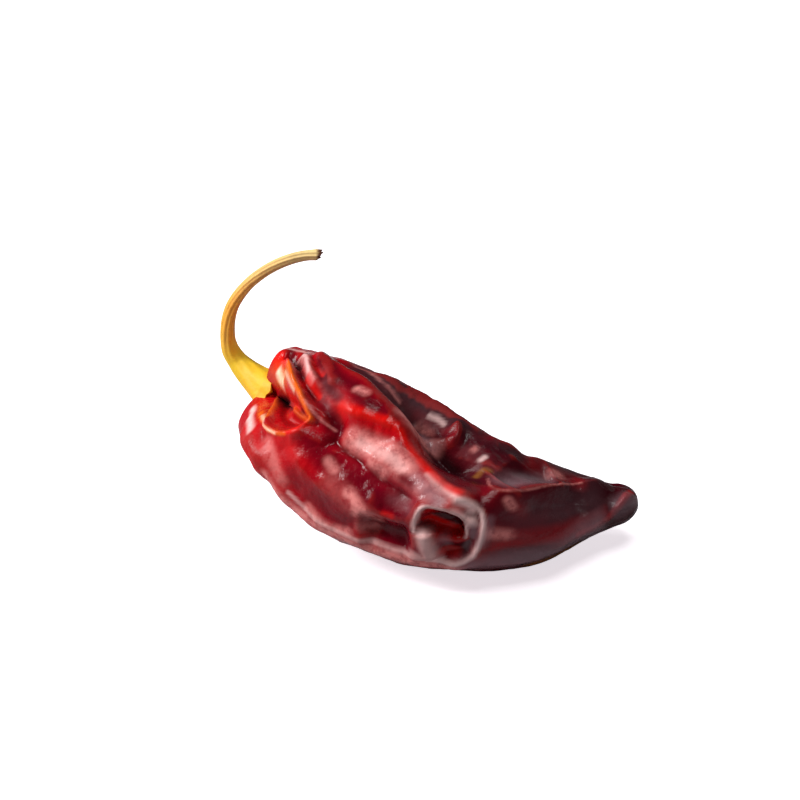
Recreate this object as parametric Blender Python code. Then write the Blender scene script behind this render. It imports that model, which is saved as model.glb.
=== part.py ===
# Dried chilli pepper, one whole pod lying on its side with its stem still on.
# Units: the numbers below are millimetres, the built meshes are metres, +Z up.
# The pod is one solid: a loft along a bent spine, with its folds, creases and
# hollows as relief in the skin. The calyx and stem are grown as one piece and
# stand on a small seat between the shoulders of the pod.
import bpy
import bmesh
import numpy as np
from mathutils import Vector

MM = 0.001

# pod, spine from the seat of the calyx to the tip: x, y, z
POD_SPINE = [
    (-40.4, 22.6, 25.1),
    (-23.1, 5.7, 21.5),
    (-7.3, -6.2, 18.0),
    (6.8, -13.9, 15.9),
    (21.1, -15.8, 13.4),
    (34.5, -12.1, 11.4),
    (42.6, -10.1, 10.7),
    (51.1, -9.3, 11.4),
]
# pod, sections: share of the spine, half widths to the front, up, back and down
POD_SECTIONS = [
    (0.00, 10.6, 12.0, 12.5, 11.0),
    (0.08, 14.8, 13.8, 15.0, 14.6),
    (0.20, 19.5, 16.0, 18.5, 17.0),
    (0.40, 22.0, 17.5, 21.0, 18.0),
    (0.57, 19.5, 15.5, 17.5, 17.0),
    (0.72, 15.0, 12.0, 13.0, 13.5),
    (0.84, 9.0, 7.2, 8.0, 9.8),
    (0.91, 6.4, 5.0, 5.6, 6.0),
    (1.00, 4.8, 4.6, 4.6, 4.4),
]
SECTION_POWER = 2.1
SHOULDER_LENGTH = 5.5
SHOULDER_POWER = 2.6
SEAT_SHARE = 0.42
DIMPLE_DEPTH = 4.5
TIP_LENGTH = 6.0
TIP_POWER = 2.2
TIP_SHARE = 0.12

# the folds were measured on a spine shorter at the head, so a place along it is stretched there
HEAD_STRETCH = 3.3
HEAD_STRETCH_OVER = 40.0

# mesh of the pod
POD_RINGS = 88
POD_SIDES = 60
RING_CROWDING = 0.075
RELIEF_ROUNDS = 2

# stem, centre line from the seat outward, and its radius along it
CALYX_GAP = 0.3
STEM_LINE = [
    (-43.5, 25.6, 26.2),
    (-47.0, 28.1, 28.9),
    (-48.9, 28.5, 33.2),
    (-49.2, 28.5, 38.2),
    (-47.8, 28.7, 44.2),
    (-44.2, 29.7, 49.4),
    (-39.9, 30.4, 52.9),
    (-34.9, 31.5, 55.3),
    (-30.0, 32.3, 56.5),
    (-25.2, 32.3, 56.9),
]
STEM_RADII = [
    (0.00, 5.0),
    (0.025, 5.0),
    (0.07, 3.9),
    (0.14, 2.5),
    (0.24, 1.95),
    (0.40, 1.65),
    (0.60, 1.45),
    (0.93, 1.3),
    (1.00, 1.3),
]
# the stem leaves its seat square to it, and turns into its own line over this length
CALYX_STRAIGHT = 9.0
STEM_RINGS = 44
STEM_SIDES = 14
STEM_CROWDING = 1.3

POD_COLOUR = (0.16, 0.006, 0.008, 1.0)
POD_ROUGHNESS = 0.3
STEM_COLOUR = (0.62, 0.34, 0.05, 1.0)
STEM_ROUGHNESS = 0.6

# relief of the skin. A place on it is (mm along the spine, degrees round it):
# 0 is the front, 90 the top, 180 the back and 270 the underside.
# crest: a fold with a narrow top, or a crease where its rise is negative
# swell: a soft rise or hollow. basin: a pocket with steep walls in a closed line.
# reach is how far the fold goes to its low and its high angle side, in mm.
FOLDS = [
    dict(name="front rim", kind="crest", rise=1.8, reach=(6.0, 8.0),
         path=[(12, 12), (17, 3), (23, -8), (28, -20), (34, -24), (41, -23), (48, -22), (55, -24),
               (61, -24), (68, -20)]),
    dict(name="main crest", kind="crest", rise=4.4, reach=(16.0, 5.0), taper=0.12, top=0.6,
         path=[(8, 104), (14, 95), (20, 90), (28, 87), (35, 85), (41, 81), (46.5, 73), (50.5, 63),
               (54.5, 49), (57.5, 41), (61, 35), (64, 30)]),
    dict(name="back hollow", kind="swell", rise=-4.5, reach=(8.0, 10.0),
         path=[(30, 103), (38, 99), (45, 92), (51, 80), (57, 66), (62, 52)]),
    dict(name="deep end", kind="swell", rise=-3.0, reach=(8.0, 8.0), taper=0.0,
         path=[(53, 68), (60, 55)]),
    dict(name="hollow ridge", kind="crest", rise=2.4, reach=(4.5, 1.8), top=0.4,
         path=[(52, 107), (54, 103), (55, 98), (55, 92), (53.5, 82)]),
    dict(name="back crest", kind="crest", rise=1.8, reach=(5.0, 9.0), taper=0.15,
         path=[(10, 112), (18, 112), (26, 113), (36, 116), (47, 116), (57, 112), (68, 109), (77, 108)]),
    dict(name="lower valley", kind="crest", rise=-2.8, reach=(7.0, 3.0),
         path=[(31, 44), (34, 37), (38, 34), (42.5, 32), (48, 28), (53, 24), (56, 20)]),
    dict(name="shoulder crease", kind="crest", rise=-1.4, reach=(4.5, 2.6), top=0.3,
         path=[(28, 60), (31, 56), (32.6, 48), (32.6, 39), (31.5, 32), (28, 26)]),
    dict(name="stem pocket", kind="basin", rise=-5.2, wall=2.4,
         path=[(8, 44), (9, 52), (14, 56), (20, 51), (25.5, 44), (24.5, 37), (23, 32), (21, 28),
               (18.5, 27), (15.5, 29.5), (12, 34)]),
    dict(name="pocket right rim", kind="crest", rise=2.8, reach=(5.0, 2.4), taper=0.22, top=0.22,
         path=[(4, 92), (9, 81), (13.3, 71), (17.7, 62), (21.2, 56), (24, 50), (26.4, 44), (27.5, 41)]),
    dict(name="pocket left rim", kind="crest", rise=1.8, reach=(3.4, 1.7), top=0.22,
         path=[(7, 41), (9.5, 35.5), (12.5, 30.5), (15.5, 26.5), (18.5, 24.5)]),
    dict(name="stem notch", kind="swell", rise=-11.5, reach=(15.0, 13.5), taper=0.0,
         path=[(0, 40), (3, 40), (6, 41)]),
    dict(name="left lobe", kind="swell", rise=2.3, reach=(7.0, 7.0),
         path=[(6, 6), (11, 4), (16, -2), (23, -9)]),
    dict(name="stem fold groove", kind="crest", rise=-2.6, reach=(1.8, 3.0), top=0.25,
         path=[(5, 97), (10, 87), (14.5, 76), (19, 66), (23, 59), (27, 53)]),
    dict(name="top hollow", kind="swell", rise=-2.0, reach=(2.6, 3.0),
         path=[(5, 98), (9, 91), (13, 82), (17, 73)]),
    dict(name="second fold", kind="crest", rise=2.2, reach=(3.6, 2.0), top=0.3,
         path=[(8, 101), (11, 93), (14, 85), (18, 75), (21, 69), (25, 62)]),
    dict(name="short crest", kind="crest", rise=1.5, reach=(2.8, 6.0), top=0.4,
         path=[(26, 61.5), (31.3, 61), (34, 61), (38, 63), (42, 64), (46, 65)]),
    dict(name="middle panel", kind="swell", rise=-1.3, reach=(7.0, 8.0),
         path=[(35, 52), (41, 52), (47, 48), (52, 41), (56, 34)]),
    dict(name="cavity", kind="basin", rise=-3.7, wall=1.7,
         path=[(56, 11), (56.2, 18), (56.8, 22.3), (59, 22.3), (60.8, 19.8), (61.8, 16), (62.3, 10.5),
               (62.4, 4), (61.2, 3), (59, 5.5), (57.4, 8.5)]),
    dict(name="cavity lip", kind="crest", rise=1.4, reach=(1.0, 2.0), taper=0.3, top=0.12,
         path=[(55.2, 3), (55.1, 10), (55.4, 18), (55.9, 23), (57.2, 24.4), (59.4, 24), (61.2, 21.5),
               (62.4, 17.5), (62.9, 10), (62.9, 2), (62.6, -3)]),
    dict(name="pinch rim", kind="crest", rise=2.7, reach=(1.6, 4.6), taper=0.16, top=0.16,
         path=[(57.5, 37.5), (60.6, 33.5), (62.8, 30), (64.3, 27), (65.1, 21), (65.4, 14), (65.4, 6),
               (65.1, -2), (64.6, -10), (63.4, -15.5), (61.2, -18), (58, -17.5)]),
    dict(name="front hollow", kind="swell", rise=-3.0, reach=(6.0, 6.0),
         path=[(45, -10), (49, -8), (52.5, -7), (55.4, -6)]),
    dict(name="bowl", kind="swell", rise=-1.6, reach=(4.2, 4.2), taper=0.0,
         path=[(61.2, -8), (63, -9), (63.6, -2)]),
    dict(name="cheek", kind="crest", rise=1.3, reach=(2.4, 2.0), taper=0.1, top=0.8,
         path=[(56.6, 5), (57.1, 0), (57.6, -6), (58.2, -12), (58.6, -17)]),
    dict(name="tail line", kind="crest", rise=2.0, reach=(6.0, 2.6), taper=0.2, top=0.3,
         path=[(63.6, 55), (64.8, 48), (66.5, 45), (69, 46.5), (73, 54), (79, 61), (87, 70), (94, 84),
               (99, 104)]),
    dict(name="tail hollow", kind="swell", rise=-2.0, reach=(7.0, 6.5), taper=0.1,
         path=[(66.5, 58), (69, 68), (73, 76), (80, 88)]),
    dict(name="tail back", kind="swell", rise=1.7, reach=(6.5, 8.0),
         path=[(71.5, 113), (80, 110), (89, 106), (98, 100)]),
    dict(name="tail lower line", kind="crest", rise=0.8, reach=(6.0, 4.0),
         path=[(68, 8), (75, 9), (83, 13), (89, 18), (96, 30)]),
    dict(name="tail keel", kind="crest", rise=1.5, reach=(5.0, 3.4), taper=0.2, top=0.3,
         path=[(72, -16), (79, -8), (86, -4), (92, 4), (96.6, 22), (100, 50), (101.5, 72)]),
    dict(name="tail panel", kind="swell", rise=-1.8, reach=(8.0, 8.0),
         path=[(70, 30), (79, 33), (88, 42)]),
    dict(name="small ring", kind="crest", rise=0.5, reach=(2.6, 1.6), top=0.3,
         path=[(64.6, 62), (65.8, 68), (67.4, 80), (69, 90), (71, 97)]),
    dict(name="far valley", kind="swell", rise=-4.0, reach=(10.0, 9.0),
         path=[(16, 146), (30, 152), (48, 155), (66, 148), (80, 140)]),
    dict(name="far crest", kind="crest", rise=2.8, reach=(9.0, 7.0),
         path=[(8, 178), (24, 184), (44, 182), (66, 172), (86, 152)]),
    dict(name="under valley", kind="swell", rise=-3.2, reach=(9.0, 10.0),
         path=[(20, 214), (38, 220), (58, 214), (74, 200)]),
    dict(name="under crest", kind="crest", rise=1.5, reach=(9.0, 9.0),
         path=[(10, 250), (30, 256), (52, 252), (76, 236)]),
    dict(name="cross crease", kind="crest", rise=-2.0, reach=(3.2, 4.6),
         path=[(34, 128), (38, 142), (37, 160), (41, 176)]),
    dict(name="cross crease low", kind="crest", rise=-1.8, reach=(4.4, 3.0),
         path=[(55, 138), (60, 156), (58, 172)]),
]
SPINE_SAMPLES = 2000
SPINE_SOFTENING = 120
CREST_TOP = 0.5
CREST_POWER = 1.35
FOLD_TAPER = 0.25
PATH_POINTS = 5


def curve_through(keys, values, at):
    """Smooth curve through uneven keys."""
    keys = np.asarray(keys, float)
    values = np.asarray(values, float)
    slope = np.gradient(values, keys, axis=0)
    at = np.clip(at, keys[0], keys[-1])
    i = np.clip(np.searchsorted(keys, at, side="right") - 1, 0, len(keys) - 2)
    h = keys[i + 1] - keys[i]
    t = (at - keys[i]) / h
    if values.ndim > 1:
        h, t = h[..., None], t[..., None]
    start = (2 * t**3 - 3 * t**2 + 1) * values[i] + (t**3 - 2 * t**2 + t) * h * slope[i]
    end = (-2 * t**3 + 3 * t**2) * values[i + 1] + (t**3 - t**2) * h * slope[i + 1]
    return start + end


def smooth_step(x):
    x = np.clip(x, 0, 1)
    return x * x * (3 - 2 * x)


class Spine:
    """A smooth line through points with arc length and a steady direction."""

    def __init__(self, points):
        points = np.asarray(points, float)
        chord = np.r_[0, np.cumsum(np.linalg.norm(np.diff(points, axis=0), axis=1))]
        self.fine = curve_through(chord, points, np.linspace(0, chord[-1], SPINE_SAMPLES))
        steps = np.linalg.norm(np.diff(self.fine, axis=0), axis=1)
        self.arc = np.r_[0, np.cumsum(steps)]
        self.length = self.arc[-1]
        tangent = np.gradient(self.fine, self.arc, axis=0)
        kernel = np.hanning(SPINE_SOFTENING * 2 + 1)
        kernel /= kernel.sum()
        first = np.repeat(tangent[:1], SPINE_SOFTENING, 0)
        last = np.repeat(tangent[-1:], SPINE_SOFTENING, 0)
        padded = np.concatenate([first, tangent, last])
        self.tangent = np.stack([np.convolve(padded[:, k], kernel, "valid") for k in range(3)], -1)

    def at(self, s):
        s = np.clip(s, 0, self.length)
        p = np.stack([np.interp(s, self.arc, self.fine[:, k]) for k in range(3)], -1)
        t = np.stack([np.interp(s, self.arc, self.tangent[:, k]) for k in range(3)], -1)
        return p, t / np.linalg.norm(t, axis=-1, keepdims=True)


SPINE = Spine(POD_SPINE)
SECTIONS = np.array(POD_SECTIONS)


def half_widths(s):
    return curve_through(SECTIONS[:, 0], SECTIONS[:, 1:], s / SPINE.length)


def section_radius(s, angle):
    w = half_widths(s)
    c, n = np.cos(angle), np.sin(angle)
    across = np.where(c > 0, w[..., 0], w[..., 2])
    upright = np.where(n > 0, w[..., 1], w[..., 3])
    total = np.abs(c / across) ** SECTION_POWER + np.abs(n / upright) ** SECTION_POWER
    return total ** (-1 / SECTION_POWER)


def wrap(angle):
    return (angle + np.pi) % (2 * np.pi) - np.pi


def stretched(path):
    path = np.asarray(path, float).copy()
    path[:, 0] += HEAD_STRETCH * np.clip(path[:, 0] / HEAD_STRETCH_OVER, 0, 1)
    return path


def unrolled(s, angle, path, closed):
    """A fold's line and the skin's points on a flat sheet in mm."""
    middle = np.radians(path[:, 1].mean())
    if closed:
        line = np.vstack([path, path[:1]])
    elif len(path) > 2:
        key = np.arange(len(path), dtype=float)
        count = PATH_POINTS * (len(path) - 1) + 1
        line = curve_through(key, path, np.linspace(0, key[-1], count))
    else:
        line = path
    radius = half_widths(line[:, 0]).mean(-1)
    line = np.stack([line[:, 0], (np.radians(line[:, 1]) - middle) * radius], -1)
    return line, s, wrap(angle - middle) * half_widths(s).mean(-1)


def distance_to(line, x, y):
    best = np.full(x.shape, 1e9)
    side = np.zeros(x.shape)
    share = np.zeros(x.shape)
    count = len(line) - 1
    for i in range(count):
        dx, dy = line[i + 1] - line[i]
        t = np.clip(((x - line[i, 0]) * dx + (y - line[i, 1]) * dy) / (dx * dx + dy * dy), 0, 1)
        ex, ey = x - line[i, 0] - t * dx, y - line[i, 1] - t * dy
        distance = np.hypot(ex, ey)
        near = distance < best
        best = np.where(near, distance, best)
        side = np.where(near, dx * ey - dy * ex, side)
        share = np.where(near, (i + t) / count, share)
    return best, side, share


def ends_of(share, taper):
    return smooth_step(np.minimum(share, 1 - share) / taper) if taper > 0 else 1.0


def crest(s, angle, path, rise, reach, taper=FOLD_TAPER, top=CREST_TOP):
    distance, side, share = distance_to(*unrolled(s, angle, path, False))
    width = np.where(side > 0, reach[1], reach[0])
    away = np.sqrt(distance**2 + top**2) - top
    return rise * ends_of(share, taper) * np.clip(1 - away / width, 0, 1) ** CREST_POWER


def swell(s, angle, path, rise, reach, taper=FOLD_TAPER):
    distance, side, share = distance_to(*unrolled(s, angle, path, False))
    away = np.clip(distance / np.where(side > 0, reach[1], reach[0]), 0, 1)
    return rise * ends_of(share, taper) * (1 - away**2) ** 2


def basin(s, angle, path, rise, wall):
    line, x, y = unrolled(s, angle, path, True)
    distance, _, _ = distance_to(line, x, y)
    inside = np.zeros(x.shape, bool)
    for (ax, ay), (bx, by) in zip(line[:-1], line[1:]):
        if ay != by:
            crosses = (ay > y) != (by > y)
            inside ^= crosses & (x < ax + (y - ay) * (bx - ax) / (by - ay))
    return rise * smooth_step(np.where(inside, distance, -distance) / wall + 0.5)


KINDS = dict(crest=crest, swell=swell, basin=basin)


def relief(s, angle):
    total = np.zeros(s.shape)
    for fold in FOLDS:
        values = {key: value for key, value in fold.items() if key not in ("name", "kind", "path")}
        path = stretched(fold["path"])
        reach = np.max(fold.get("reach", fold.get("wall")))
        rows = (s[:, 0] > path[:, 0].min() - reach) & (s[:, 0] < path[:, 0].max() + reach)
        total[rows] += KINDS[fold["kind"]](s[rows], angle[rows], path, **values)
    return total


def softened(values, rounds):
    """Evens the relief out over neighbouring points, so that no fold is finer than the mesh."""
    for _ in range(rounds):
        values = (2 * values + np.roll(values, 1, axis=1) + np.roll(values, -1, axis=1)) / 4
        inner = (2 * values[1:-1] + values[:-2] + values[2:]) / 4
        values = np.concatenate([values[:1], inner, values[-1:]])
    return values


def pod_points(rings, sides):
    """Rings of points from the seat of the calyx to the tip, in mm."""
    share = np.linspace(0, 1, rings)
    along = SPINE.length * (share - RING_CROWDING * np.sin(2 * np.pi * share))
    s, angle = np.meshgrid(along, np.arange(sides) * 2 * np.pi / sides, indexing="ij")
    from_seat = 1 - (1 - np.clip(s / SHOULDER_LENGTH, 0, 1)) ** SHOULDER_POWER
    from_tip = 1 - (1 - np.clip((SPINE.length - s) / TIP_LENGTH, 0, 1)) ** TIP_POWER
    shoulder = SEAT_SHARE + (1 - SEAT_SHARE) * np.sqrt(from_seat)
    tip = TIP_SHARE + (1 - TIP_SHARE) * np.sqrt(from_tip)
    radius = section_radius(s, angle) * shoulder * tip
    radius += softened(relief(s, angle), RELIEF_ROUNDS) * np.sqrt(from_seat * from_tip)
    centre, tangent = SPINE.at(s)
    front = np.cross(tangent, (0, 0, 1.0))
    front /= np.linalg.norm(front, axis=-1, keepdims=True)
    up = np.cross(front, tangent)
    points = centre + radius[..., None] * (np.cos(angle)[..., None] * front + np.sin(angle)[..., None] * up)
    points += (DIMPLE_DEPTH * (1 - shoulder**2))[..., None] * tangent
    points[..., 2] = np.maximum(points[..., 2], 0)
    return points


def stem_points(rings, sides):
    """Rings of points from the calyx to the cut end, in mm."""
    line = Spine(STEM_LINE)
    along = line.length * np.linspace(0, 1, rings) ** STEM_CROWDING
    centre, tangent = line.at(along)
    seat_centre, seat_tangent = SPINE.at(0.0)
    seat = seat_centre + seat_tangent * DIMPLE_DEPTH * (1 - SEAT_SHARE**2)
    start = seat - seat_tangent * CALYX_GAP
    blend = smooth_step(along / CALYX_STRAIGHT)[:, None]
    centre = (start - seat_tangent * along[:, None]) * (1 - blend) + centre * blend
    tangent = -seat_tangent * (1 - blend) + tangent * blend
    tangent /= np.linalg.norm(tangent, axis=-1, keepdims=True)
    side = np.cross(tangent, (0.0, 1.0, 0.0))
    side /= np.linalg.norm(side, axis=-1, keepdims=True)
    other = np.cross(side, tangent)
    keys = np.array(STEM_RADII)
    radius = np.interp(along / line.length, keys[:, 0], keys[:, 1])
    angle = np.arange(sides) * 2 * np.pi / sides
    ring = np.cos(angle)[None, :, None] * side[:, None] + np.sin(angle)[None, :, None] * other[:, None]
    return centre[:, None] + radius[:, None, None] * ring


def solid_from_rings(name, points):
    """One closed body from rings of points, with a flat cap at both ends."""
    bm = bmesh.new()
    rings = [[bm.verts.new(Vector(p * MM)) for p in ring] for ring in points]
    sides = len(rings[0])
    for low, high in zip(rings[:-1], rings[1:]):
        for i in range(sides):
            j = (i + 1) % sides
            bm.faces.new((low[i], low[j], high[j], high[i]))
    for ring in (rings[0], rings[-1]):
        centre = bm.verts.new(sum((v.co for v in ring), Vector()) / sides)
        for i in range(sides):
            bm.faces.new((ring[i], ring[(i + 1) % sides], centre))
    bmesh.ops.recalc_face_normals(bm, faces=bm.faces)
    mesh = bpy.data.meshes.new(name)
    bm.to_mesh(mesh)
    bm.free()
    mesh.shade_smooth()
    return mesh


def material(name, colour, roughness):
    made = bpy.data.materials.new(name)
    made.use_nodes = True
    shader = made.node_tree.nodes["Principled BSDF"]
    shader.inputs["Base Color"].default_value = colour
    shader.inputs["Roughness"].default_value = roughness
    return made


def place(name, mesh, skin, collection):
    mesh.materials.append(skin)
    piece = bpy.data.objects.new(name, mesh)
    collection.objects.link(piece)
    return piece


def build():
    for old in list(bpy.data.objects):
        bpy.data.objects.remove(old, do_unlink=True)
    collection = bpy.data.collections.new("dried_chilli_pepper")
    bpy.context.scene.collection.children.link(collection)
    pod = solid_from_rings("pod", pod_points(POD_RINGS, POD_SIDES))
    stem = solid_from_rings("stem", stem_points(STEM_RINGS, STEM_SIDES))
    place("pod", pod, material("pod_skin", POD_COLOUR, POD_ROUGHNESS), collection)
    place("stem", stem, material("stem_wood", STEM_COLOUR, STEM_ROUGHNESS), collection)


build()
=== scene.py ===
# A dried chilli pepper lying on its side: folded skin, calyx and hooked stem, and a white studio.
# Shapes are worked out in millimetres and built in metres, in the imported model's own frame.
import math

import bpy
import numpy as np
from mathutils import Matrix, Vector


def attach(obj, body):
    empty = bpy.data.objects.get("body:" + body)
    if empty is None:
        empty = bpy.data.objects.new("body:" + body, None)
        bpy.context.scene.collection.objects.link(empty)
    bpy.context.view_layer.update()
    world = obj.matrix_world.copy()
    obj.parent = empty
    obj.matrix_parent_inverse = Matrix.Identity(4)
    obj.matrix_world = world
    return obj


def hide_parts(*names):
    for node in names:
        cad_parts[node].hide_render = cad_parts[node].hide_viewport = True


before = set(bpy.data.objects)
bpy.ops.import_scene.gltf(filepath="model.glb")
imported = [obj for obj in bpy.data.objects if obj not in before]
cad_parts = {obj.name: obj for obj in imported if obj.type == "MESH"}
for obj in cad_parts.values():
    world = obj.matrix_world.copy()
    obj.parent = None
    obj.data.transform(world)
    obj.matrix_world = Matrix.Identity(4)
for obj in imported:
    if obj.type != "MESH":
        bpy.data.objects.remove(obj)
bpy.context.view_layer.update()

mm = 0.001

# the pod: spine from the seat of the calyx to the tip, and half widths to the front, up, back and down
podShape = {
    "spine": [
        (-40.4, 22.6, 25.1),
        (-23.1, 5.7, 21.5),
        (-7.3, -6.2, 18.0),
        (6.8, -13.9, 15.9),
        (21.1, -15.8, 13.4),
        (34.5, -12.1, 11.4),
        (42.6, -10.1, 10.7),
        (51.1, -9.3, 11.4),
    ],
    "sections": [
        (0.00, 10.6, 12.0, 12.5, 11.0),
        (0.08, 14.8, 13.8, 15.0, 14.6),
        (0.20, 19.5, 16.0, 18.5, 17.0),
        (0.40, 22.0, 17.5, 21.0, 18.0),
        (0.57, 19.5, 15.5, 17.5, 17.0),
        (0.72, 15.0, 12.0, 13.0, 13.5),
        (0.84, 9.0, 7.2, 8.0, 9.8),
        (0.91, 6.4, 5.0, 5.6, 6.0),
        (1.00, 4.8, 4.6, 4.6, 4.4),
    ],
    "sectionPower": 2.1,
    "shoulderLength": 5.5,
    "shoulderPower": 2.6,
    "seatShare": 0.42,
    "dimpleDepth": 4.5,
    "tipLength": 6.0,
    "tipPower": 2.2,
    "tipShare": 0.12,
    "headStretch": 3.3,  # the folds were measured on a spine shorter at the head
    "headStretchOver": 40.0,
    "rings": 410,
    "sides": 226,
    "ringCrowding": 0.075,
    "sideCrowding": 0.32,  # finer towards the side that the skin folds most
    "finestSide": 45,
    "ridgeRounds": 14,  # how often the skin is smoothed to find its ridges, and the rise of a full ridge
    "ridgeRise": 0.25,
    "hollowRounds": 60,
    "hollowDepth": 1.2,
}

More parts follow.
